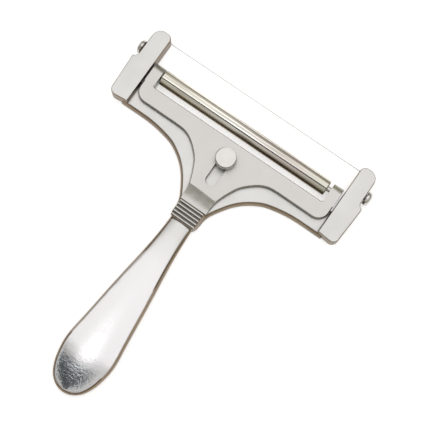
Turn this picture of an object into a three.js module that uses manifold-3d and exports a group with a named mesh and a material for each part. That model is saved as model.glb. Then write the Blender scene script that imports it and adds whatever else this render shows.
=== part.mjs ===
// Wire cheese cutter with an adjustable roller.
// Millimetres, +Z up, lying on its flat back, handle towards -Y, cutting wire towards +Y.
// The plan datum is the lower end of the two arms. The group is shifted at the end
// so that the middle of the bounding box sits over the origin.
import * as THREE from 'three';
import { mergeVertices } from 'three/addons/utils/BufferGeometryUtils.js';
import Module from 'manifold-3d';

const wasm = await Module();
wasm.setup();

// Arms that hold the wire
const armHeight = 9;
const armInnerX = 59.7;
const armFootWidth = 11.2;
const armWidth = 12.2;
const armTipWidth = 9.9;
const armFootY = -0.7;
const armFootRise = 0.8;
const armNarrowLength = 20.6;
const armStepRun = 2.6;
const armLength = 42.9;
const armFootRound = 3.6;
const armTipRound = 5.2;
const armTipInnerRound = 3.4;
const armEdgeBevel = 0.55;
const armEdgeDepth = 1.6;

// Web between the arms and its neck
const webHeight = 5;
const webFrontY = 14;
const webBackY = -1;
const webArmOverlap = 3;
const webEdgeBevel = 1.6;
const webEdgeDepth = 3.6;
const neckLength = 35.4;
const neckHalfWidth = 6.9;

// Ribbed collar
const collarHeight = 8.3;
const collarLength = 9.8;
const collarHalfWidth = 7.7;
const collarEdgeBevel = 0.9;
const collarEdgeDepth = 3;
const ribCount = 5;
const ribHalfLength = 7;
const ribRadius = 0.85;

// Handle
const handleLength = 104.2;
const handleRootOverlap = 0.5;
const handleHalfWidth = 14.7;
const handleRootHeight = 7.5;
const handleHeight = 9.4;
const handleWidestHeight = 4.4;
const handleCrown = 0.7;
const handleEndDrop = 1.7;
const handleTopInset = 2;
const handleBackInset = 2.4;

// Roller carriage
const carriageArmGap = 0.9;
const carriageWebGap = 0.3;
const carriageThickness = 2.9;
const carriageFrontY = 14.3;
const carriageBackY = 5.1;
const carriageBackHalfWidth = 33;
const carriageCornerRound = 6;
const carriageEdgeBevel = 0.4;
const carriageEdgeDepth = 1;
const tailHalfWidth = 7.8;
const tailCollarGap = 0.4;
const earWidth = 5.8;
const earRadius = 4;
const earTipY = 26.4;
const earInnerRound = 1.2;
const slotWidth = 6.5;
const slotTravel = 13.2;
const scoopCreaseY = -16.4;
const scoopLength = 9;
const scoopDepth = 1.3;

// Roller
const rollerRadius = 4.4;
const rollerLeftPlay = 0.8;
const rollerRightPlay = 2;
const rollerWall = 0.9;
const rollerEdgeBevel = 0.3;
const axleY = 22.2;
const axleZ = 4.6;
const axleRadius = 1.5;
const axleRecess = 0.5;
const bushLength = 7;
const bushRecess = 0.5;
const turningClearance = 0.3;
const pressClearance = 0.2;

// Thumb screw
const thumbScrewY = 4;
const thumbHeadRadius = 5.7;
const thumbHeadHeight = 4.6;
const thumbHeadBevel = 0.6;
const thumbKnurlCount = 40;
const thumbKnurlDepth = 0.3;
const thumbNeckRadius = 3;
const thumbNeckHeight = 0.8;
const thumbShankRadius = 2.2;
const thumbShankRecess = 0.8;
const threadClearance = 0.3;

// Cutting wire and its two screws
const wireRadius = 0.3;
const wireZ = 4.5;
const wireTipInset = 2.9;
const wireBendRadius = 2;
const wireLoopTurn = 1.55 * Math.PI;
const wireChannelClearance = 0.3;
const wireSeatGap = 0.2;
const screwTipInset = 12.8;
const screwSeatDepth = 0.8;
const screwSeatClearance = 0.6;
const screwShankRadius = 1.5;
const screwShankLength = 6;
const screwHoleOverdepth = 0.8;
const screwHeadRadius = 3.8;
const screwHeadHeight = 2.6;
const screwDriveWidth = 0.9;
const screwDriveDepth = 1;
const washerThickness = 0.5;
const washerRadius = 3.5;

// Overrun of every cutting body past the face that it opens
const cutOverrun = 1;

// Faces thinner than this are merged into their neighbours
const meshTolerance = 0.008;

// Values that follow from the sizes above
const armTipY = armFootY + armLength;
const armOuterX = armInnerX + armTipWidth;
const handleRootY = -neckLength - handleRootOverlap;
const handleEndY = -neckLength - handleLength;
const carriageBottomZ = webHeight + carriageWebGap;
const carriageTopZ = carriageBottomZ + carriageThickness;
const earOuterX = armInnerX - carriageArmGap;
const earInnerX = earOuterX - earWidth;
const earCentreY = earTipY - earRadius;
const earCentreZ = carriageTopZ - earRadius;
const rollerLeftX = -earInnerX + rollerLeftPlay;
const rollerRightX = earInnerX - rollerRightPlay;
const collarFrontY = -neckLength + collarLength;
const wireY = armTipY - wireTipInset;
const screwY = armTipY - screwTipInset;
const screwSeatX = armOuterX - screwSeatDepth;
const wireLoopX = screwSeatX + wireSeatGap + wireRadius;
const wireLoopRadius = screwShankRadius + wireSeatGap + wireRadius;
const washerX = wireLoopX + wireRadius + wireSeatGap;

// Outlines as shares of the sizes that they belong to
const webEdgeShares = [
  [0.92, 0], [0.82, 0], [0.72, 0.01], [0.62, 0.035], [0.5, 0.085], [0.41, 0.165],
  [0.333, 0.262], [0.27, 0.374], [0.218, 0.5], [0.179, 0.61], [0.155, 0.69], [0.14, 0.78],
  [0.136, 0.86], [0.132, 0.94],
];
const collarWidthShares = [
  [0.8, 0], [0.85, 0.09], [0.93, 0.15], [0.985, 0.22], [1, 0.32], [0.99, 0.6], [1, 1],
];
const carriageEdgeShares = [
  [0.56, 0.99], [0.47, 0.94], [0.385, 0.845], [0.29, 0.69], [0.23, 0.51],
  [0.19, 0.35], [0.165, 0.2], [0.16, 0.05],
];
const handleWidthShares = [
  [0, 0.445], [0.06, 0.462], [0.12, 0.49], [0.18, 0.53], [0.25, 0.585], [0.32, 0.65],
  [0.39, 0.71], [0.46, 0.77], [0.53, 0.822], [0.6, 0.875], [0.67, 0.935], [0.71, 0.972],
  [0.75, 0.998], [0.78, 1], [0.81, 0.983], [0.85, 0.935], [0.88, 0.885], [0.91, 0.81],
  [0.94, 0.7], [0.96, 0.596], [0.978, 0.452], [0.99, 0.308], [0.997, 0.17], [1, 0.02],
];

function solidOf(geometry) {
  const welded = mergeVertices(stripped(geometry));
  const mesh = new wasm.Mesh({
    numProp: 3,
    vertProperties: new Float32Array(welded.attributes.position.array),
    triVerts: new Uint32Array(welded.index.array),
  });
  return new wasm.Manifold(mesh);
}

function stripped(geometry) {
  const copy = geometry.clone();
  copy.deleteAttribute('normal');
  copy.deleteAttribute('uv');
  return copy;
}

function geometryOf(solid) {
  const mesh = solid.getMesh();
  const geometry = new THREE.BufferGeometry();
  const count = mesh.vertProperties.length / mesh.numProp;
  const positions = new Float32Array(3 * count);
  for (let i = 0; i < count; i += 1) {
    for (let k = 0; k < 3; k += 1) {
      positions[3 * i + k] = mesh.vertProperties[mesh.numProp * i + k];
    }
  }
  geometry.setAttribute('position', new THREE.BufferAttribute(positions, 3));
  geometry.setIndex(new THREE.BufferAttribute(new Uint32Array(mesh.triVerts), 1));
  geometry.computeVertexNormals();
  return geometry;
}

function unionOf(solids) {
  return solids.reduce((whole, next) => whole.add(next));
}

function block(minX, maxX, minY, maxY, minZ, maxZ) {
  const geometry = new THREE.BoxGeometry(maxX - minX, maxY - minY, maxZ - minZ);
  geometry.translate((minX + maxX) / 2, (minY + maxY) / 2, (minZ + maxZ) / 2);
  return solidOf(geometry);
}

// Round bar along X or Z between two positions on that axis
function bar(axis, radius, from, to, centre, sides = 32) {
  const geometry = new THREE.CylinderGeometry(radius, radius, to - from, sides);
  if (axis === 'x') {
    geometry.rotateZ(-Math.PI / 2);
    geometry.translate((from + to) / 2, centre[0], centre[1]);
  } else {
    geometry.rotateX(Math.PI / 2);
    geometry.translate(centre[0], centre[1], (from + to) / 2);
  }
  return solidOf(geometry);
}

// Flat outline raised to a height, its upper edge rounded inwards by the bevel over a depth
function raised(points, bottomZ, topZ, bevel, depth, segments) {
  const shape = new THREE.Shape(points);
  const geometry = new THREE.ExtrudeGeometry(shape, {
    depth: topZ - bottomZ,
    bevelEnabled: true,
    bevelThickness: depth,
    bevelSize: bevel,
    bevelOffset: -bevel,
    bevelSegments: segments,
  });
  geometry.translate(0, 0, bottomZ - depth);
  const body = solidOf(geometry);
  const half = 2 * armLength + 2 * handleLength;
  return body.subtract(block(-half, half, -half, half, bottomZ - 3 * depth, bottomZ));
}

function mirroredOutline(rightSide) {
  const leftSide = rightSide.map((p) => new THREE.Vector2(-p.x, p.y)).reverse();
  return [...rightSide, ...leftSide];
}

function smoothed(points, divisions) {
  return new THREE.SplineCurve(points).getPoints(divisions);
}

function arcPoints(x, y, radius, fromAngle, toAngle, steps) {
  const points = [];
  for (let i = 0; i <= steps; i += 1) {
    const angle = fromAngle + ((toAngle - fromAngle) * i) / steps;
    points.push(new THREE.Vector2(x + radius * Math.cos(angle), y + radius * Math.sin(angle)));
  }
  return points;
}

function armOutline(side) {
  const stepY = armTipY - armNarrowLength;
  const wideX = armInnerX + armWidth;
  const footX = armInnerX + armFootWidth;
  const tipX = armOuterX - armTipRound;
  const innerX = armInnerX + armTipInnerRound;
  const points = [
    new THREE.Vector2(armInnerX, armFootY + armFootRise),
    ...arcPoints(footX - armFootRound, armFootY + armFootRound, armFootRound, -Math.PI / 2, 0, 6),
    ...arcPoints(wideX - armStepRun / 2, stepY, armStepRun / 2, 0, Math.PI / 2, 4),
    new THREE.Vector2(armOuterX, stepY + armStepRun),
    ...arcPoints(tipX, armTipY - armTipRound, armTipRound, 0, Math.PI / 2, 10),
    ...arcPoints(innerX, armTipY - armTipInnerRound, armTipInnerRound, Math.PI / 2, Math.PI, 8),
  ];
  const placed = points.map((p) => new THREE.Vector2(side * p.x, p.y));
  return side > 0 ? placed : placed.reverse();
}

function webOutline() {
  const sideX = armInnerX + webArmOverlap;
  const edge = webEdgeShares.map(([x, y]) => new THREE.Vector2(
    x * armInnerX,
    webBackY - y * (neckLength + webBackY),
  ));
  const right = [
    new THREE.Vector2(neckHalfWidth, -neckLength),
    ...smoothed(edge, 36).reverse(),
    new THREE.Vector2(sideX, webBackY),
    new THREE.Vector2(sideX, webFrontY),
  ];
  return mirroredOutline(right);
}

function collarOutline() {
  const backY = -neckLength - cutOverrun;
  const right = collarWidthShares.map(([width, along]) => new THREE.Vector2(
    width * collarHalfWidth,
    backY + along * (collarFrontY - backY),
  ));
  return mirroredOutline(right);
}

function collarRibs() {
  const ribs = [];
  const pitch = (collarLength - 2 * ribRadius) / (ribCount - 1);
  for (let i = 0; i < ribCount; i += 1) {
    const y = -neckLength + ribRadius + i * pitch;
    ribs.push(bar('x', ribRadius, -ribHalfLength, ribHalfLength, [y, collarHeight], 16));
  }
  return unionOf(ribs);
}

// Height of the handle's upper face along its length
function handleTopAt(share) {
  const rise = THREE.MathUtils.smoothstep(share, 0, 1 / 3);
  const fall = Math.max(0, 4 * share - 3);
  return handleRootHeight + (handleHeight - handleRootHeight) * rise - handleEndDrop * fall ** 2;
}

// One cross-section: domed top, rounded sides, flat back
function handleRing(y, halfWidth, topZ) {
  const topInset = Math.min(handleTopInset, halfWidth / 2);
  const backInset = Math.min(handleBackInset, halfWidth / 2);
  const distance = Math.min(1, (y - handleEndY) / handleTopInset);
  const endRise = Math.sqrt(1 - (1 - distance) ** 2);
  const edgeZ = handleWidestHeight + (topZ - handleCrown - handleWidestHeight) * endRise;
  const crown = handleCrown * endRise;
  const right = [];
  for (let i = 0; i <= 5; i += 1) {
    const share = i / 5;
    right.push([(halfWidth - topInset) * share, edgeZ + crown * (1 - share * share)]);
  }
  for (let i = 1; i <= 4; i += 1) {
    const angle = (i / 4) * (Math.PI / 2);
    right.push([
      halfWidth - topInset * (1 - Math.sin(angle)),
      handleWidestHeight + (edgeZ - handleWidestHeight) * Math.cos(angle),
    ]);
  }
  for (let i = 1; i <= 4; i += 1) {
    const angle = (i / 4) * (Math.PI / 2);
    right.push([
      halfWidth - backInset * (1 - Math.cos(angle)),
      handleWidestHeight * (1 - Math.sin(angle)),
    ]);
  }
  const left = right.slice(1).map(([x, z]) => [-x, z]).reverse();
  return [...right, ...left].map(([x, z]) => [x, y, z]);
}

function handleSolid() {
  const curve = new THREE.SplineCurve(
    handleWidthShares.map(([along, width]) => new THREE.Vector2(along, width)),
  );
  const rings = curve.getPoints(54).map((p) => {
    const y = handleRootY + (handleEndY - handleRootY) * Math.min(1, p.x);
    return handleRing(y, p.y * handleHalfWidth, handleTopAt(p.x));
  });
  const size = rings[0].length;
  const positions = rings.flat(2);
  const index = [];
  for (let r = 0; r + 1 < rings.length; r += 1) {
    for (let i = 0; i < size; i += 1) {
      const a = r * size + i;
      const b = r * size + ((i + 1) % size);
      index.push(a, a + size, b, b, a + size, b + size);
    }
  }
  const last = (rings.length - 1) * size;
  for (let i = 1; i + 1 < size; i += 1) {
    index.push(0, i, i + 1, last, last + i + 1, last + i);
  }
  const geometry = new THREE.BufferGeometry();
  geometry.setAttribute('position', new THREE.Float32BufferAttribute(positions, 3));
  geometry.setIndex(index);
  return solidOf(geometry);
}

// Route of the wire on the right half, from the middle of the span to the end of its loop
function wireHalfRoute() {
  const points = [new THREE.Vector3(0, wireY, wireZ)];
  const bendX = wireLoopX - wireBendRadius;
  const bendY = wireY - wireBendRadius;
  for (let i = 0; i <= 6; i += 1) {
    const angle = Math.PI / 2 - (i / 6) * (Math.PI / 2);
    points.push(new THREE.Vector3(
      bendX + wireBendRadius * Math.cos(angle),
      bendY + wireBendRadius * Math.sin(angle),
      wireZ,
    ));
  }
  const reach = bendY - screwY;
  const lean = Math.acos(wireLoopRadius / reach);
  for (let i = 0; i <= 24; i += 1) {
    const angle = lean + (i / 24) * wireLoopTurn;
    points.push(new THREE.Vector3(
      wireLoopX,
      screwY + wireLoopRadius * Math.cos(angle),
      wireZ + wireLoopRadius * Math.sin(angle),
    ));
  }
  return points;
}

function wireTube(radius, sides) {
  const half = wireHalfRoute();
  const mirrored = half.slice(1).map((p) => new THREE.Vector3(-p.x, p.y, p.z)).reverse();
  return tubeThrough([...mirrored, ...half], radius, sides);
}

// Closed round tube through the points, its section carried without twist
function tubeThrough(points, radius, sides) {
  const positions = [];
  const index = [];
  const tangentAt = (i) => {
    const before = points[Math.max(0, i - 1)];
    const after = points[Math.min(points.length - 1, i + 1)];
    return after.clone().sub(before).normalize();
  };
  let across = new THREE.Vector3(0, 0, 1);
  points.forEach((point, i) => {
    const along = tangentAt(i);
    across = across.clone().addScaledVector(along, -across.dot(along)).normalize();
    const side = new THREE.Vector3().crossVectors(along, across);
    for (let k = 0; k < sides; k += 1) {
      const angle = (k / sides) * 2 * Math.PI;
      const place = point.clone()
        .addScaledVector(across, radius * Math.cos(angle))
        .addScaledVector(side, radius * Math.sin(angle));
      positions.push(place.x, place.y, place.z);
    }
  });
  for (let r = 0; r + 1 < points.length; r += 1) {
    for (let k = 0; k < sides; k += 1) {
      const a = r * sides + k;
      const b = r * sides + ((k + 1) % sides);
      index.push(a, b, a + sides, b, b + sides, a + sides);
    }
  }
  const last = (points.length - 1) * sides;
  for (let k = 1; k + 1 < sides; k += 1) {
    index.push(0, k + 1, k, last, last + k, last + k + 1);
  }
  const geometry = new THREE.BufferGeometry();
  geometry.setAttribute('position', new THREE.Float32BufferAttribute(positions, 3));
  geometry.setIndex(index);
  return solidOf(geometry);
}

function alongSide(side, from, to) {
  return side > 0 ? [from, to] : [-to, -from];
}

function frameCasting() {
  let body = unionOf([
    raised(webOutline(), 0, webHeight, webEdgeBevel, webEdgeDepth, 6),
    raised(armOutline(1), 0, armHeight, armEdgeBevel, armEdgeDepth, 4),
    raised(armOutline(-1), 0, armHeight, armEdgeBevel, armEdgeDepth, 4),
    raised(collarOutline(), 0, collarHeight, collarEdgeBevel, collarEdgeDepth, 4),
    collarRibs(),
    handleSolid(),
  ]);
  const threadRadius = thumbShankRadius + threadClearance;
  body = body.subtract(
    bar('z', threadRadius, -cutOverrun, webHeight + cutOverrun, [0, thumbScrewY]),
  );
  body = body.subtract(wireTube(wireRadius + wireChannelClearance, 8));
  const holeRadius = screwShankRadius + threadClearance;
  const holeEndX = washerX + washerThickness - screwShankLength - screwHoleOverdepth;
  const seatRadius = screwHeadRadius + screwSeatClearance;
  for (const side of [-1, 1]) {
    const hole = alongSide(side, holeEndX, armOuterX + cutOverrun);
    const seat = alongSide(side, screwSeatX, armOuterX + cutOverrun);
    body = body.subtract(bar('x', holeRadius, hole[0], hole[1], [screwY, wireZ]));
    body = body.subtract(bar('x', seatRadius, seat[0], seat[1], [screwY, wireZ], 40));
  }
  return body.simplify(meshTolerance);
}

function carriageOutline() {
  const depth = carriageBackY - (collarFrontY + tailCollarGap);
  const tailY = collarFrontY + tailCollarGap;
  const edge = [
    new THREE.Vector2(carriageBackHalfWidth, carriageBackY),
    ...carriageEdgeShares.map(([x, y]) => new THREE.Vector2(
      x * (carriageBackHalfWidth + tailHalfWidth * 2),
      tailY + y * depth,
    )),
  ];
  const cornerX = earOuterX - carriageCornerRound;
  const cornerY = carriageBackY + carriageCornerRound;
  const right = [
    new THREE.Vector2(tailHalfWidth, tailY),
    ...smoothed(edge, 30).reverse(),
    ...arcPoints(cornerX, cornerY, carriageCornerRound, -Math.PI / 2, 0, 8),
    new THREE.Vector2(earOuterX, earCentreY),
    new THREE.Vector2(earInnerX, earCentreY),
    ...arcPoints(
      earInnerX - earInnerRound,
      carriageFrontY + earInnerRound,
      earInnerRound,
      0,
      -Math.PI / 2,
      4,
    ),
  ];
  return mirroredOutline(right);
}

function slotCutter() {
  const radius = slotWidth / 2;
  const upperY = thumbScrewY + threadClearance;
  const lowerY = upperY - slotTravel;
  const low = carriageBottomZ - cutOverrun;
  const high = carriageTopZ + cutOverrun;
  return unionOf([
    bar('z', radius, low, high, [0, upperY], 40),
    bar('z', radius, low, high, [0, lowerY], 40),
    block(-radius, radius, lowerY, upperY, low, high),
  ]);
}

// Thumb slope across the tail, steepest at the crease and level at the collar
function scoopCutter() {
  const steps = 8;
  const points = [new THREE.Vector2(scoopCreaseY, carriageTopZ + cutOverrun)];
  for (let i = 0; i <= steps; i += 1) {
    const share = i / steps;
    points.push(new THREE.Vector2(
      scoopCreaseY - share * scoopLength,
      carriageTopZ - scoopDepth * Math.sin((share * Math.PI) / 2),
    ));
  }
  points.push(new THREE.Vector2(scoopCreaseY - scoopLength, carriageTopZ + cutOverrun));
  const half = tailHalfWidth * 2;
  const geometry = new THREE.ExtrudeGeometry(new THREE.Shape(points), {
    depth: 2 * half,
    bevelEnabled: false,
  });
  geometry.rotateX(Math.PI / 2);
  geometry.rotateZ(Math.PI / 2);
  geometry.translate(-half, 0, 0);
  return solidOf(geometry);
}

function earSolid(side) {
  const [fromX, toX] = alongSide(side, earInnerX, earOuterX);
  const shoulderY = carriageFrontY + earInnerRound / 2;
  return unionOf([
    bar('x', earRadius, fromX, toX, [earCentreY, earCentreZ], 40),
    block(fromX, toX, shoulderY, earCentreY, earCentreZ - earRadius, carriageTopZ),
  ]);
}

function rollerCarriage() {
  let body = raised(
    carriageOutline(),
    carriageBottomZ,
    carriageTopZ,
    carriageEdgeBevel,
    carriageEdgeDepth,
    3,
  );
  body = unionOf([body, earSolid(-1), earSolid(1)]);
  body = body.subtract(slotCutter()).subtract(scoopCutter());
  const holeRadius = axleRadius + pressClearance;
  const reach = earOuterX + cutOverrun;
  return body.subtract(bar('x', holeRadius, -reach, reach, [axleY, axleZ]));
}

// Profile turned about the X axis: pairs of position along X and radius
function turned(profile, centre, sides) {
  const points = profile.map(([along, radius]) => new THREE.Vector2(radius, along));
  points.push(points[0].clone());
  const geometry = new THREE.LatheGeometry(points, sides);
  geometry.rotateZ(-Math.PI / 2);
  geometry.translate(0, centre[0], centre[1]);
  return solidOf(geometry);
}

function rollerTube() {
  const from = rollerLeftX;
  const to = rollerRightX;
  const inner = rollerRadius - rollerWall;
  return turned([
    [from, inner],
    [from, rollerRadius - rollerEdgeBevel],
    [from + rollerEdgeBevel, rollerRadius],
    [to - rollerEdgeBevel, rollerRadius],
    [to, rollerRadius - rollerEdgeBevel],
    [to, inner],
  ], [axleY, axleZ], 48);
}

function rollerBush(side) {
  const end = (side > 0 ? rollerRightX : rollerLeftX) - side * bushRecess;
  const start = end - side * bushLength;
  const outer = rollerRadius - rollerWall - pressClearance;
  const inner = axleRadius + turningClearance;
  const [from, to] = side > 0 ? [start, end] : [end, start];
  return turned([[from, inner], [from, outer], [to, outer], [to, inner]], [axleY, axleZ], 32);
}

function rollerAxle() {
  const half = earOuterX - axleRecess;
  return bar('x', axleRadius, -half, half, [axleY, axleZ]);
}

function knurledOutline() {
  const points = [];
  const steps = thumbKnurlCount * 4;
  for (let i = 0; i < steps; i += 1) {
    const angle = (i / steps) * 2 * Math.PI;
    const radius = i % 4 < 2 ? thumbHeadRadius : thumbHeadRadius - thumbKnurlDepth;
    points.push(new THREE.Vector2(radius * Math.cos(angle), radius * Math.sin(angle)));
  }
  return points;
}

function thumbScrew() {
  const seatZ = carriageTopZ + turningClearance;
  const headZ = seatZ + thumbNeckHeight;
  const topZ = headZ + thumbHeadHeight;
  const knurled = new THREE.ExtrudeGeometry(new THREE.Shape(knurledOutline()), {
    depth: thumbHeadHeight,
    bevelEnabled: false,
  });
  knurled.translate(0, 0, headZ);
  const envelope = new THREE.LatheGeometry([
    new THREE.Vector2(0, headZ),
    new THREE.Vector2(thumbHeadRadius - thumbHeadBevel, headZ),
    new THREE.Vector2(thumbHeadRadius, headZ + thumbHeadBevel),
    new THREE.Vector2(thumbHeadRadius, topZ - thumbHeadBevel),
    new THREE.Vector2(thumbHeadRadius - thumbHeadBevel, topZ),
    new THREE.Vector2(0, topZ),
  ], 64);
  envelope.rotateX(Math.PI / 2);
  const head = solidOf(knurled).intersect(solidOf(envelope));
  const neckOverlap = thumbHeadHeight / 2;
  const neck = bar('z', thumbNeckRadius, seatZ, headZ + neckOverlap, [0, 0], 40);
  const shank = bar('z', thumbShankRadius, thumbShankRecess, headZ + neckOverlap, [0, 0], 32);
  return unionOf([head, neck, shank]).translate([0, thumbScrewY, 0]);
}

function cuttingWire() {
  return wireTube(wireRadius, 8);
}

function wireWasher(side) {
  const [from, to] = alongSide(side, washerX, washerX + washerThickness);
  const inner = screwShankRadius + wireSeatGap;
  return turned(
    [[from, inner], [from, washerRadius], [to, washerRadius], [to, inner]],
    [screwY, wireZ],
    40,
  );
}

function wireScrew(side) {
  const headX = washerX + washerThickness;
  const dome = [];
  for (let i = 0; i <= 5; i += 1) {
    const angle = (i / 5) * (Math.PI / 2);
    dome.push([
      headX + screwHeadHeight * (1 / 3 + (2 / 3) * Math.sin(angle)),
      screwHeadRadius * Math.cos(angle) ** 0.6,
    ]);
  }
  dome[5][1] = 0;
  const profile = [
    [headX - screwShankLength, 0],
    [headX - screwShankLength, screwShankRadius],
    [headX, screwShankRadius],
    [headX, screwHeadRadius],
    ...dome,
  ];
  const placed = side > 0 ? profile : profile.map(([x, r]) => [-x, r]).reverse();
  const points = placed.map(([along, radius]) => new THREE.Vector2(radius, along));
  const geometry = new THREE.LatheGeometry(points, 40);
  geometry.rotateZ(-Math.PI / 2);
  geometry.translate(0, screwY, wireZ);
  const topX = headX + screwHeadHeight;
  const [from, to] = alongSide(side, topX - screwDriveDepth, topX + cutOverrun);
  const half = screwDriveWidth / 2;
  const reach = screwHeadRadius + cutOverrun;
  return solidOf(geometry).subtract(
    block(from, to, screwY - reach, screwY + reach, wireZ - half, wireZ + half),
  );
}

function platedCasting() {
  return new THREE.MeshStandardMaterial({ color: 0xdcdcd8, roughness: 0.22, metalness: 1 });
}

function platedCarriage() {
  return new THREE.MeshStandardMaterial({ color: 0xd8d6d2, roughness: 0.26, metalness: 1 });
}

function polishedTube() {
  return new THREE.MeshStandardMaterial({ color: 0xe2ded4, roughness: 0.12, metalness: 1 });
}

function brightSteel() {
  return new THREE.MeshStandardMaterial({ color: 0xc4c2be, roughness: 0.25, metalness: 1 });
}

function wireSteel() {
  return new THREE.MeshStandardMaterial({ color: 0xc8c8c8, roughness: 0.3, metalness: 1 });
}

function bushPlastic() {
  return new THREE.MeshStandardMaterial({ color: 0x2b2a28, roughness: 0.6, metalness: 0 });
}

function part(name, solid, material) {
  const mesh = new THREE.Mesh(geometryOf(solid), material);
  mesh.name = name;
  return mesh;
}

function cheeseCutter() {
  const tool = new THREE.Group();
  tool.name = 'wire_cheese_cutter';
  tool.add(part('frame_casting', frameCasting(), platedCasting()));
  tool.add(part('roller_carriage', rollerCarriage(), platedCarriage()));
  tool.add(part('roller_tube', rollerTube(), polishedTube()));
  tool.add(part('roller_bush_left', rollerBush(-1), bushPlastic()));
  tool.add(part('roller_bush_right', rollerBush(1), bushPlastic()));
  tool.add(part('roller_axle', rollerAxle(), brightSteel()));
  tool.add(part('thumb_screw', thumbScrew(), brightSteel()));
  tool.add(part('cutting_wire', cuttingWire(), wireSteel()));
  tool.add(part('wire_washer_left', wireWasher(-1), brightSteel()));
  tool.add(part('wire_washer_right', wireWasher(1), brightSteel()));
  tool.add(part('wire_screw_left', wireScrew(-1), brightSteel()));
  tool.add(part('wire_screw_right', wireScrew(1), brightSteel()));
  tool.position.y = -(armTipY + handleEndY) / 2;
  const whole = new THREE.Group();
  whole.name = 'cheese_cutter';
  whole.add(tool);
  return whole;
}

export default cheeseCutter();
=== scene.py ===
import math
import bpy
from mathutils import Euler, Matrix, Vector

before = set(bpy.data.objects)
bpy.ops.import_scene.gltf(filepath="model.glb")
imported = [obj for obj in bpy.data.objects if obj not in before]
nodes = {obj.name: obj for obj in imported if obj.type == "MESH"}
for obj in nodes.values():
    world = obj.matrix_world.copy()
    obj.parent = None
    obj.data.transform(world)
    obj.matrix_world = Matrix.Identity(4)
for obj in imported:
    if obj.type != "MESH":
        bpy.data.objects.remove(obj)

print("scene: packed cutter loaded")
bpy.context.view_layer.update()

# the photograph's camera, solved from the arms, the wire and the thumb screw
cameraSettings = {
    "place": (0.06664, -0.05828, 0.60646),    # metres above the cutter
    "turn": (9.5254, -0.2993, 34.8315),       # degrees about X, Y and Z
    "lens": 99.64,
    "sensor": 36.0,
}


def addCamera(settings):
    data = bpy.data.cameras.new("photoCamera")
    data.lens = settings["lens"]
    data.sensor_width = settings["sensor"]
    data.clip_start = 0.01
    camera = bpy.data.objects.new("photoCamera", data)
    camera.location = settings["place"]
    camera.rotation_euler = Euler([math.radians(a) for a in settings["turn"]], "XYZ")
    bpy.context.scene.collection.objects.link(camera)
    bpy.context.scene.camera = camera


addCamera(cameraSettings)
print("scene: camera placed")


def hexColour(text):    # sRGB hex to linear RGBA
    parts = [int(text[i:i + 2], 16) / 255 for i in (1, 3, 5)]
    return [c / 12.92 if c <= 0.04045 else ((c + 0.055) / 1.055) ** 2.4 for c in parts] + [1.0]


def addNode(tree, kind, settings=None, links=None):
    # one node, its settings (attribute or socket name to value) and its incoming links
    node = tree.nodes.new(kind)
    for key, value in (settings or {}).items():
        if isinstance(key, str) and hasattr(node, key):
            setattr(node, key, value)
        else:
            node.inputs[key].default_value = value
    for key, source in (links or {}).items():
        tree.links.new(source, node.inputs[key])
    return node


def rampStops(node, stops):
    ramp = node.color_ramp
    while len(ramp.elements) < len(stops):
        ramp.elements.new(0.5)
    for element, (place, colour) in zip(ramp.elements, stops):
        element.position = place
        element.color = hexColour(colour)


def newMaterial(name):
    material = bpy.data.materials.new(name)
    material.use_nodes = True
    tree = material.node_tree
    tree.nodes.clear()
    shader = addNode(tree, "ShaderNodeBsdfPrincipled")
    addNode(tree, "ShaderNodeOutputMaterial", links={"Surface": shader.outputs["BSDF"]})
    return material, tree, shader


# nickel plated zinc casting: soft bright top faces; the walls carry painted reflection and shade in
# warm browns
castingFinish = {
    "top": "#DAD9D6", "topCloud": "#C4C3C0", "polished": "#DAD8D8",
    "paintedWallLeft": "#8E7C68", "paintedWallRight": "#93836A", "paintedWallDark": "#5E4E40",
    "cloudMm": 14.0, "waveMm": 6.0, "peelMm": 0.9, "gapMm": 1.3, "paintedGapShade": "#1E1B18",
    "sideFrom": 0.80, "sideTo": 0.965,
    "roughSatin": 0.30, "roughPolished": 0.12,
    "waveBump": 0.04, "peelBump": 0.06, "endPeel": 0.35, "endPeelMm": 1.3,
    "endReflectionTone": "#CDD4D9", "endToneMm": 0.8, "endReflectionShare": 1.0,
    "slopeReflectionTone": "#A7A69C", "slopeShare": 0.0, "slopeMm": 2.2,
    "waveDepth": 0.001, "peelDepth": 0.0003, "grainShare": 0.10,
    "gapSamples": 8, "gapOpen": (0.42, 0.80),
    # where each look begins and ends, in metres along the cutter
    "handY": (0.012, -0.012), "acrossX": (-0.05, 0.05), "endPeelY": (-0.072, -0.082),
    "endReflectionStartY": (-0.0725, -0.0785), "endReflectionStopY": (-0.0885, -0.0845), "endReflectionX": (0.0100, 0.0020),
    "slopeY": (0.0235, 0.0255),
    # shares of tilt and of noise
    "slopeTilt": (0.9975, 0.9905), "slopeSpecks": (0.30, 0.58), "slopeLeast": 0.5,
    "endReflectionSpecks": (0.42, 0.56), "endReflectionLeast": 0.2,
}
# the carriage's walls: painted shade on the left, a painted pale reflection on the right
plateFinish = dict(castingFinish, top="#CECBC8", topCloud="#C5C2BF", polished="#CECBC8",
                   paintedWallLeft="#3C3028", paintedWallRight="#E4E6CC", paintedWallDark="#8A8474",
                   sideFrom=0.90, sideTo=0.999, roughPolished=0.20, waveBump=0.03,
                   slopeShare=1.0, endReflectionShare=0.0)


def scaled(millimetres):    # noise scale whose features are this many millimetres wide
    return 1000.0 / millimetres


def noiseOf(tree, place, millimetres, detail):
    return addNode(tree, "ShaderNodeTexNoise", {"Scale": scaled(millimetres), "Detail": detail},
                   {"Vector": place}).outputs["Fac"]


def mixedColour(tree, factor, low, high):
    # two colours, each a hex text or a socket, mixed by a factor socket
    mix = addNode(tree, "ShaderNodeMix", {"data_type": "RGBA"}, {0: factor})
    for index, colour in ((6, low), (7, high)):
        if isinstance(colour, str):
            mix.inputs[index].default_value = hexColour(colour)
        else:
            tree.links.new(colour, mix.inputs[index])
    return mix.outputs[2]


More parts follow.
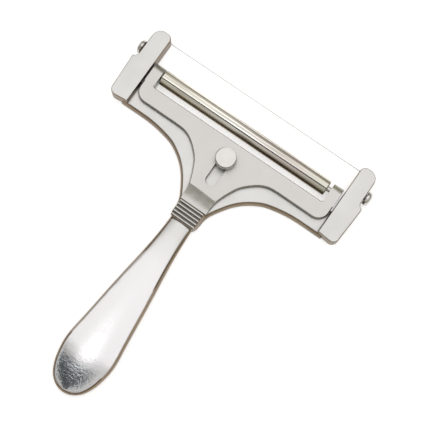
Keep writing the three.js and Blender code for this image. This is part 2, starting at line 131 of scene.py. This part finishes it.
def rangeOf(tree, value, low, high, toLow=0.0, toHigh=1.0):
    return addNode(tree, "ShaderNodeMapRange",
                   {"From Min": low, "From Max": high, "To Min": toLow, "To Max": toHigh},
                   {"Value": value}).outputs[0]


def multiplied(tree, values):
    product = values[0]
    for value in values[1:]:
        product = addNode(tree, "ShaderNodeMath", {"operation": "MULTIPLY"},
                          {0: product, 1: value}).outputs[0]
    return product


def uprightOf(tree):
    # how far the face points up or down, one on the flat and nothing on a wall
    facing = addNode(tree, "ShaderNodeSeparateXYZ",
                     links={"Vector": addNode(tree, "ShaderNodeNewGeometry").outputs["Normal"]})
    return addNode(tree, "ShaderNodeMath", {"operation": "ABSOLUTE"},
                   {0: facing.outputs["Z"]}).outputs[0]


def endReflectionOf(tree, place, along, finish):
    # painted dark reflection: a crescent at the end of the handle, broken into specks
    return multiplied(tree, [
        rangeOf(tree, along.outputs["Y"], *finish["endReflectionStartY"]),
        rangeOf(tree, along.outputs["Y"], *finish["endReflectionStopY"]),
        rangeOf(tree, along.outputs["X"], *finish["endReflectionX"]),
        rangeOf(tree, noiseOf(tree, place, finish["endToneMm"], 3.0), *finish["endReflectionSpecks"],
                finish["endReflectionLeast"], finish["endReflectionShare"]),
    ])


def slopeReflectionOf(tree, place, along, upright, finish):
    # painted dark reflection on the slope of the thumb hollow, in blotches, only on the carriage
    return multiplied(tree, [
        rangeOf(tree, along.outputs["Y"], *finish["slopeY"], 0.0, finish["slopeShare"]),
        rangeOf(tree, upright, *finish["slopeTilt"]),
        rangeOf(tree, noiseOf(tree, place, finish["slopeMm"], 3.0), *finish["slopeSpecks"],
                finish["slopeLeast"], 1.0),
    ])


def castingMaterial(name, finish):
    # even bright faces, painted shade in the gaps beside every step, and brown walls of painted
    # reflection and shade
    material, tree, shader = newMaterial(name)
    place = addNode(tree, "ShaderNodeTexCoord").outputs["Object"]
    along = addNode(tree, "ShaderNodeSeparateXYZ", links={"Vector": place})
    cloud = noiseOf(tree, place, finish["cloudMm"], 4.0)
    peel = noiseOf(tree, place, finish["peelMm"], 3.0)
    inHand = rangeOf(tree, along.outputs["Y"], *finish["handY"])
    satin = mixedColour(tree, cloud, finish["topCloud"], finish["top"])
    top = mixedColour(tree, inHand, satin, finish["polished"])
    # painted reflection on the handle's end, added to the card's real reflection
    if finish["endReflectionShare"]:
        top = mixedColour(tree, endReflectionOf(tree, place, along, finish), top, finish["endReflectionTone"])
    # painted reflection and shade on the walls: a brown tone from left to right, mottled by the
    # cloud
    across = rangeOf(tree, along.outputs["X"], *finish["acrossX"])
    warm = mixedColour(tree, across, finish["paintedWallLeft"], finish["paintedWallRight"])
    side = mixedColour(tree, cloud, finish["paintedWallDark"], warm)
    upright = uprightOf(tree)
    # painted dark reflection on the thumb slope, mottled by noise
    slopeReflection = slopeReflectionOf(tree, place, along, upright, finish)
    isTop = rangeOf(tree, upright, finish["sideFrom"], finish["sideTo"])
    colour = mixedColour(tree, slopeReflection, mixedColour(tree, isTop, side, top), finish["slopeReflectionTone"])
    # painted shade: occlusion darkens the colour in gaps, slots and at the feet of walls
    gap = addNode(tree, "ShaderNodeAmbientOcclusion",
                  {"Distance": finish["gapMm"] / 1000, "samples": finish["gapSamples"]})
    isOpen = rangeOf(tree, gap.outputs["AO"], *finish["gapOpen"])
    tree.links.new(mixedColour(tree, isOpen, finish["paintedGapShade"], colour), shader.inputs["Base Color"])
    polish = rangeOf(tree, inHand, 0.0, 1.0, finish["roughSatin"], finish["roughPolished"])
    grain = addNode(tree, "ShaderNodeMath", {"operation": "MULTIPLY_ADD", 1: finish["grainShare"]},
                    {0: peel, 2: polish})
    tree.links.new(grain.outputs[0], shader.inputs["Roughness"])
    waves = addNode(tree, "ShaderNodeBump",
                    {"Strength": finish["waveBump"], "Distance": finish["waveDepth"]},
                    {"Height": noiseOf(tree, place, finish["waveMm"], 2.0)})
    skin = addNode(tree, "ShaderNodeBump",
                   {"Strength": finish["peelBump"], "Distance": finish["peelDepth"]},
                   {"Height": peel, "Normal": waves.outputs["Normal"]})
    # orange peel left by hand polishing grows towards the handle's end
    atEnd = rangeOf(tree, along.outputs["Y"], *finish["endPeelY"], 0.0, finish["endPeel"])
    pits = addNode(tree, "ShaderNodeBump", {"Distance": finish["peelDepth"]},
                   {"Strength": atEnd, "Height": noiseOf(tree, place, finish["endPeelMm"], 3.0),
                    "Normal": skin.outputs["Normal"]})
    tree.links.new(pits.outputs["Normal"], shader.inputs["Normal"])
    shader.inputs["Metallic"].default_value = 1.0
    return material


# turned and buffed steel: fine marks break the reflections a little
steelFinish = {"light": "#D2D0CC", "dark": "#B4B0AA", "speckMm": 2.5, "rough": 0.2, "bump": 0.05}
# dark grey-brown washers under the wire screws
darkFinish = {"light": "#6A645C", "dark": "#4A443E", "speckMm": 2.0, "rough": 0.35, "bump": 0.05}
headFinish = {"light": "#D3D1CD", "dark": "#CAC8C4", "speckMm": 5.0, "rough": 0.24, "bump": 0.01}
wireFinish = {"light": "#FFFFFF", "dark": "#F0F2F4", "speckMm": 2.0, "rough": 0.75, "bump": 0.02}


def steelMaterial(name, finish, stretch=(1.0, 1.0, 1.0)):
    material, tree, shader = newMaterial(name)
    place = addNode(tree, "ShaderNodeTexCoord").outputs["Object"]
    drawn = addNode(tree, "ShaderNodeMapping", {"Scale": stretch}, {"Vector": place})
    marks = noiseOf(tree, drawn.outputs[0], finish["speckMm"], 4.0)
    tone = addNode(tree, "ShaderNodeValToRGB", links={"Fac": marks})
    rampStops(tone, [(0.3, finish["dark"]), (0.65, finish["light"])])
    tree.links.new(tone.outputs["Color"], shader.inputs["Base Color"])
    tree.links.new(rangeOf(tree, marks, 0.0, 1.0, finish["rough"] * 0.75, finish["rough"] * 1.3),
                   shader.inputs["Roughness"])
    bump = addNode(tree, "ShaderNodeBump", {"Strength": finish["bump"], "Distance": 0.0003},
                   {"Height": marks})
    tree.links.new(bump.outputs["Normal"], shader.inputs["Normal"])
    shader.inputs["Metallic"].default_value = 1.0
    return material


# polished plated tube: drawing lines along it, warm tints, and painted shade and reflection
# darkening its sides
tubeFinish = {
    "tints": [(0.0, "#F4F1E2"), (0.45, "#F3F0EA"), (0.8, "#DCD2CE"), (1.0, "#D2D3C2")],
    "sides": [(0.0, "#6A6058"), (0.12, "#B4ACA2"), (0.3, "#F2EEE8"), (0.6, "#FFFFFF")],
    "lineMm": 1.3, "lineTone": "#B9B4AA", "rough": 0.14, "bump": 0.05, "bumpDepth": 0.0002,
    "acrossX": (-0.052, 0.052), "stretch": (0.03, 1.0, 1.0), "lineEdges": (0.35, 0.55),
}


def tubeMaterial(name, finish):
    material, tree, shader = newMaterial(name)
    place = addNode(tree, "ShaderNodeTexCoord").outputs["Object"]
    along = addNode(tree, "ShaderNodeSeparateXYZ", links={"Vector": place})
    tint = addNode(tree, "ShaderNodeValToRGB",
                   links={"Fac": rangeOf(tree, along.outputs["X"], *finish["acrossX"])})
    rampStops(tint, finish["tints"])
    drawn = addNode(tree, "ShaderNodeMapping", {"Scale": finish["stretch"]}, {"Vector": place})
    lines = noiseOf(tree, drawn.outputs[0], finish["lineMm"], 3.0)
    streaked = mixedColour(tree, rangeOf(tree, lines, *finish["lineEdges"]), finish["lineTone"],
                           tint.outputs["Color"])
    # painted shade and reflection: the colour darkens where the tube's faces turn sideways
    edge = addNode(tree, "ShaderNodeValToRGB", links={"Fac": uprightOf(tree)})
    rampStops(edge, finish["sides"])
    shaded = addNode(tree, "ShaderNodeMix", {"data_type": "RGBA", "blend_type": "MULTIPLY", 0: 1.0},
                     {6: streaked, 7: edge.outputs["Color"]})
    tree.links.new(shaded.outputs[2], shader.inputs["Base Color"])
    bump = addNode(tree, "ShaderNodeBump",
                   {"Strength": finish["bump"], "Distance": finish["bumpDepth"]}, {"Height": lines})
    tree.links.new(bump.outputs["Normal"], shader.inputs["Normal"])
    shader.inputs["Roughness"].default_value = finish["rough"]
    shader.inputs["Metallic"].default_value = 1.0
    return material


# moulded black acetal: dull and slightly scuffed
bushFinish = {"light": "#34322F", "dark": "#1E1D1B", "speckMm": 0.8, "rough": 0.55}


def mouldedMaterial(name, finish):
    material, tree, shader = newMaterial(name)
    place = addNode(tree, "ShaderNodeTexCoord").outputs["Object"]
    grain = addNode(tree, "ShaderNodeTexNoise", {"Scale": scaled(finish["speckMm"]), "Detail": 3.0},
                    {"Vector": place})
    tone = addNode(tree, "ShaderNodeValToRGB", links={"Fac": grain.outputs["Fac"]})
    rampStops(tone, [(0.3, finish["dark"]), (0.7, finish["light"])])
    tree.links.new(tone.outputs["Color"], shader.inputs["Base Color"])
    bump = addNode(tree, "ShaderNodeBump", {"Strength": 0.15, "Distance": 0.0002},
                   {"Height": grain.outputs["Fac"]})
    tree.links.new(bump.outputs["Normal"], shader.inputs["Normal"])
    shader.inputs["Roughness"].default_value = finish["rough"]
    shader.inputs["IOR"].default_value = 1.48
    return material


platedCasting = castingMaterial("nickel plated zinc casting", castingFinish)
platedCarriage = castingMaterial("nickel plated carriage", plateFinish)
turnedSteel = steelMaterial("turned and buffed steel", steelFinish)
drawnWire = steelMaterial("drawn stainless wire", wireFinish, (0.05, 1.0, 1.0))
polishedTube = tubeMaterial("polished plated tube", tubeFinish)
buffedHead = steelMaterial("buffed steel head", headFinish)
darkSteel = steelMaterial("dark steel washer", darkFinish)
blackAcetal = mouldedMaterial("moulded black acetal", bushFinish)

finishes = {
    "frame_casting": platedCasting,
    "roller_carriage": platedCarriage,
    "roller_tube": polishedTube,
    "roller_bush_left": blackAcetal,
    "roller_bush_right": blackAcetal,
    "roller_axle": turnedSteel,
    "thumb_screw": buffedHead,
    "cutting_wire": drawnWire,
    "wire_washer_left": darkSteel,
    "wire_washer_right": darkSteel,
    "wire_screw_left": turnedSteel,
    "wire_screw_right": turnedSteel,
}


def dressNode(name, material):
    mesh = nodes[name].data
    mesh.materials.clear()
    mesh.materials.append(material)


for name, material in finishes.items():
    dressNode(name, material)
print("scene: materials on", len(finishes), "nodes")

# rounds share their shading across small angles, edges stay crisp
smoothing = {"mergeMm": 0.0005, "edgeAngle": 32.0}


def smoothGroup(settings):
    # merge the loose triangles, then mark edges sharp where faces meet above the angle
    tree = bpy.data.node_groups.new("smoothRounds", "GeometryNodeTree")
    tree.interface.new_socket("Geometry", in_out="INPUT", socket_type="NodeSocketGeometry")
    tree.interface.new_socket("Geometry", in_out="OUTPUT", socket_type="NodeSocketGeometry")
    start = addNode(tree, "NodeGroupInput")
    merged = addNode(tree, "GeometryNodeMergeByDistance", {"Distance": settings["mergeMm"] / 1000},
                     {"Geometry": start.outputs[0]})
    angle = addNode(tree, "GeometryNodeInputMeshEdgeAngle")
    flat = addNode(tree, "FunctionNodeCompare",
                   {"operation": "LESS_EQUAL", "B": math.radians(settings["edgeAngle"])},
                   {"A": angle.outputs["Unsigned Angle"]})
    faces = addNode(tree, "GeometryNodeSetShadeSmooth", links={"Geometry": merged.outputs[0]})
    edges = addNode(tree, "GeometryNodeSetShadeSmooth", {"domain": "EDGE"},
                    {"Geometry": faces.outputs[0], "Shade Smooth": flat.outputs[0]})
    addNode(tree, "NodeGroupOutput", links={0: edges.outputs[0]})
    return tree


smoothRounds = smoothGroup(smoothing)
for node in nodes.values():
    shade = node.modifiers.new("smoothRounds", "NODES")
    shade.node_group = smoothRounds
    weighted = node.modifiers.new("keepFlats", "WEIGHTED_NORMAL")
    weighted.keep_sharp = True
    weighted.weight = 80
print("scene: shading smoothed")

# white table and a plain studio: bright overhead, dim and warm low down
studio = {
    "floorHalf": 1.6, "floorColour": "#FAFAFA", "floorLift": 0.55,
    "skyTop": 0.84, "matte": 0.9,
    "skyStops": [(0.0, "#1A1714"), (0.07, "#463F38"), (0.18, "#A8A199"), (0.4, "#CAC5BD"),
                 (0.65, "#D8D4CC"), (0.84, "#F0EFED"), (1.0, "#F6F6F6")],
}
# the first lamp lights everything, the second makes the bright spot on the handle's end
lamps = {
    "overheadPanel": {"place": (-0.05, 0.45, 1.1), "aim": (-0.05, 0.3, 0),
                      "size": (1.5, 1.2), "power": 2.9},
    "highlightLamp": {"place": (-0.085, -0.11, 0.775), "aim": (-0.085, -0.11, 0),
                      "size": (0.12, 0.09), "power": 0.035},
}


def addFloor(settings):
    half = settings["floorHalf"]
    mesh = bpy.data.meshes.new("table")
    mesh.from_pydata([(-half, -half, 0), (half, -half, 0), (half, half, 0), (-half, half, 0)],
                     [], [(0, 1, 2, 3)])
    floor = bpy.data.objects.new("table", mesh)
    bpy.context.scene.collection.objects.link(floor)
    material, tree, shader = newMaterial("white table")
    shader.inputs["Base Color"].default_value = hexColour(settings["floorColour"])
    shader.inputs["Roughness"].default_value = settings["matte"]
    rays = addNode(tree, "ShaderNodeLightPath")
    seen = addNode(tree, "ShaderNodeMath", {"operation": "ADD"},
                   {0: rays.outputs["Is Camera Ray"], 1: rays.outputs["Is Glossy Ray"]})
    seenToo = addNode(tree, "ShaderNodeMath", {"operation": "ADD", "use_clamp": True},
                      {0: seen.outputs[0], 1: rays.outputs["Is Transmission Ray"]})
    lift = addNode(tree, "ShaderNodeMath", {"operation": "MULTIPLY", 1: settings["floorLift"]},
                   {0: seenToo.outputs[0]})
    shader.inputs["Emission Color"].default_value = (1, 1, 1, 1)
    tree.links.new(lift.outputs[0], shader.inputs["Emission Strength"])
    mesh.materials.append(material)


def addSky(settings):
    world = bpy.data.worlds.new("studio")
    world.use_nodes = True
    tree = world.node_tree
    tree.nodes.clear()
    direction = addNode(tree, "ShaderNodeTexCoord").outputs["Generated"]
    height = addNode(tree, "ShaderNodeSeparateXYZ", links={"Vector": direction})
    ramp = addNode(tree, "ShaderNodeValToRGB", links={"Fac": height.outputs["Z"]})
    rampStops(ramp, settings["skyStops"])
    sky = addNode(tree, "ShaderNodeBackground", links={"Color": ramp.outputs["Color"]})
    sky.inputs["Strength"].default_value = settings["skyTop"]
    addNode(tree, "ShaderNodeOutputWorld", links={"Surface": sky.outputs[0]})
    bpy.context.scene.world = world


def addLamp(name, settings):
    data = bpy.data.lights.new(name, "AREA")
    data.shape = "RECTANGLE"
    data.size, data.size_y = settings["size"]
    data.energy = settings["power"]
    lamp = bpy.data.objects.new(name, data)
    lamp.location = settings["place"]
    towards = Vector(settings["aim"]) - Vector(settings["place"])
    lamp.rotation_euler = towards.to_track_quat("-Z", "Y").to_euler()
    bpy.context.scene.collection.objects.link(lamp)


# a grey card beside the camera, which the polished end of the handle and the thumb slope mirror
cardSettings = {
    "low": (-0.36, -0.42), "high": (0.07, -0.185), "height": 0.77, "colour": "#28323A", "matte": 0.9,
}


def addCard(settings):
    (x0, y0), (x1, y1), z = settings["low"], settings["high"], settings["height"]
    mesh = bpy.data.meshes.new("greyCard")
    mesh.from_pydata([(x0, y0, z), (x0, y1, z), (x1, y1, z), (x1, y0, z)], [], [(0, 1, 2, 3)])
    card = bpy.data.objects.new("greyCard", mesh)
    bpy.context.scene.collection.objects.link(card)
    material, tree, shader = newMaterial("grey card")
    shader.inputs["Base Color"].default_value = hexColour(settings["colour"])
    shader.inputs["Roughness"].default_value = settings["matte"]
    mesh.materials.append(material)


addFloor(studio)
addSky(studio)
addCard(cardSettings)
for name, settings in lamps.items():
    addLamp(name, settings)
print("scene: table, sky, card and lamps ready")

bpy.context.scene.view_settings.view_transform = "Standard"
